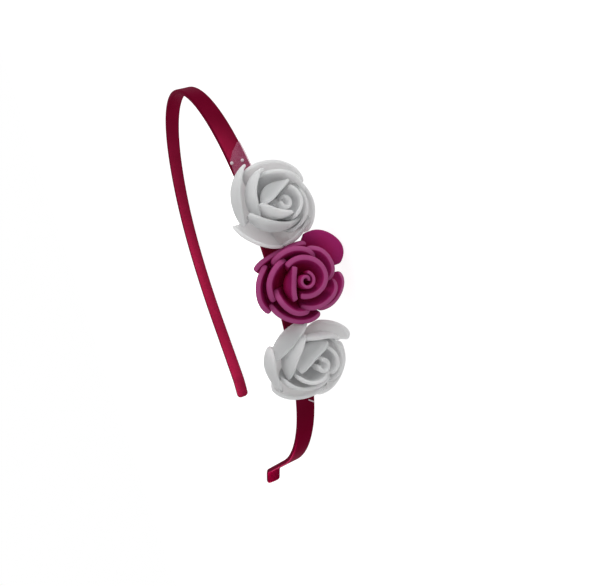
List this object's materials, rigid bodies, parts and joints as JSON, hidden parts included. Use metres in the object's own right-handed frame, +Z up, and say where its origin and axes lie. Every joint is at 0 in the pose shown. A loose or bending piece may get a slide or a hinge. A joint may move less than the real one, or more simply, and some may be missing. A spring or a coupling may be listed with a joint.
{
  "type": "flower headband",
  "caption": "Narrow C-shaped satin-covered headband with layered foam roses glued side by side on one leg; it springs over the head and holds the hair.",
  "frame": {"origin": "middle of the footprint of the headband, on the table it lies on", "axes": "+Z up from the table, across the width of the band; +Y from the tips towards the crown; +X from the plain leg towards the rose leg"},
  "size_m": [0.1476, 0.138, 0.026],
  "materials": {
    "satin": "crimson satin ribbon wrapped round the band",
    "white_foam": "white craft foam, soft and matt",
    "pink_foam": "magenta craft foam, soft and matt",
    "glue": "hot glue, milky and glossy"
  },
  "bodies": {
    "root": {"band": "satin", "glue_film": "glue", "rose_upper_glue": "glue", "rose_upper_bud": "white_foam", "rose_upper_outer_petal_1": "white_foam", "rose_upper_outer_petal_2": "white_foam", "rose_upper_outer_petal_3": "white_foam", "rose_upper_outer_petal_4": "white_foam", "rose_upper_outer_petal_5": "white_foam", "rose_upper_middle_petal_1": "white_foam", "rose_upper_middle_petal_2": "white_foam", "rose_upper_middle_petal_3": "white_foam", "rose_upper_middle_petal_4": "white_foam", "rose_upper_inner_petal_1": "white_foam", "rose_upper_inner_petal_2": "white_foam", "rose_upper_inner_petal_3": "white_foam", "rose_middle_glue": "glue", "rose_middle_bud": "pink_foam", "rose_middle_outer_petal_1": "pink_foam", "rose_middle_outer_petal_2": "pink_foam", "rose_middle_outer_petal_3": "pink_foam", "rose_middle_outer_petal_4": "pink_foam", "rose_middle_outer_petal_5": "pink_foam", "rose_middle_middle_petal_1": "pink_foam", "rose_middle_middle_petal_2": "pink_foam", "rose_middle_middle_petal_3": "pink_foam", "rose_middle_middle_petal_4": "pink_foam", "rose_middle_middle_petal_5": "pink_foam", "rose_middle_inner_petal_1": "pink_foam", "rose_middle_inner_petal_2": "pink_foam", "rose_lower_glue": "glue", "rose_lower_bud": "white_foam", "rose_lower_outer_petal_1": "white_foam", "rose_lower_outer_petal_2": "white_foam", "rose_lower_outer_petal_3": "white_foam", "rose_lower_outer_petal_4": "white_foam", "rose_lower_outer_petal_5": "white_foam", "rose_lower_middle_petal_1": "white_foam", "rose_lower_middle_petal_2": "white_foam", "rose_lower_middle_petal_3": "white_foam", "rose_lower_middle_petal_4": "white_foam", "rose_lower_inner_petal_1": "white_foam", "rose_lower_inner_petal_2": "white_foam", "rose_lower_inner_petal_3": "white_foam"}
  },
  "joints": []
}
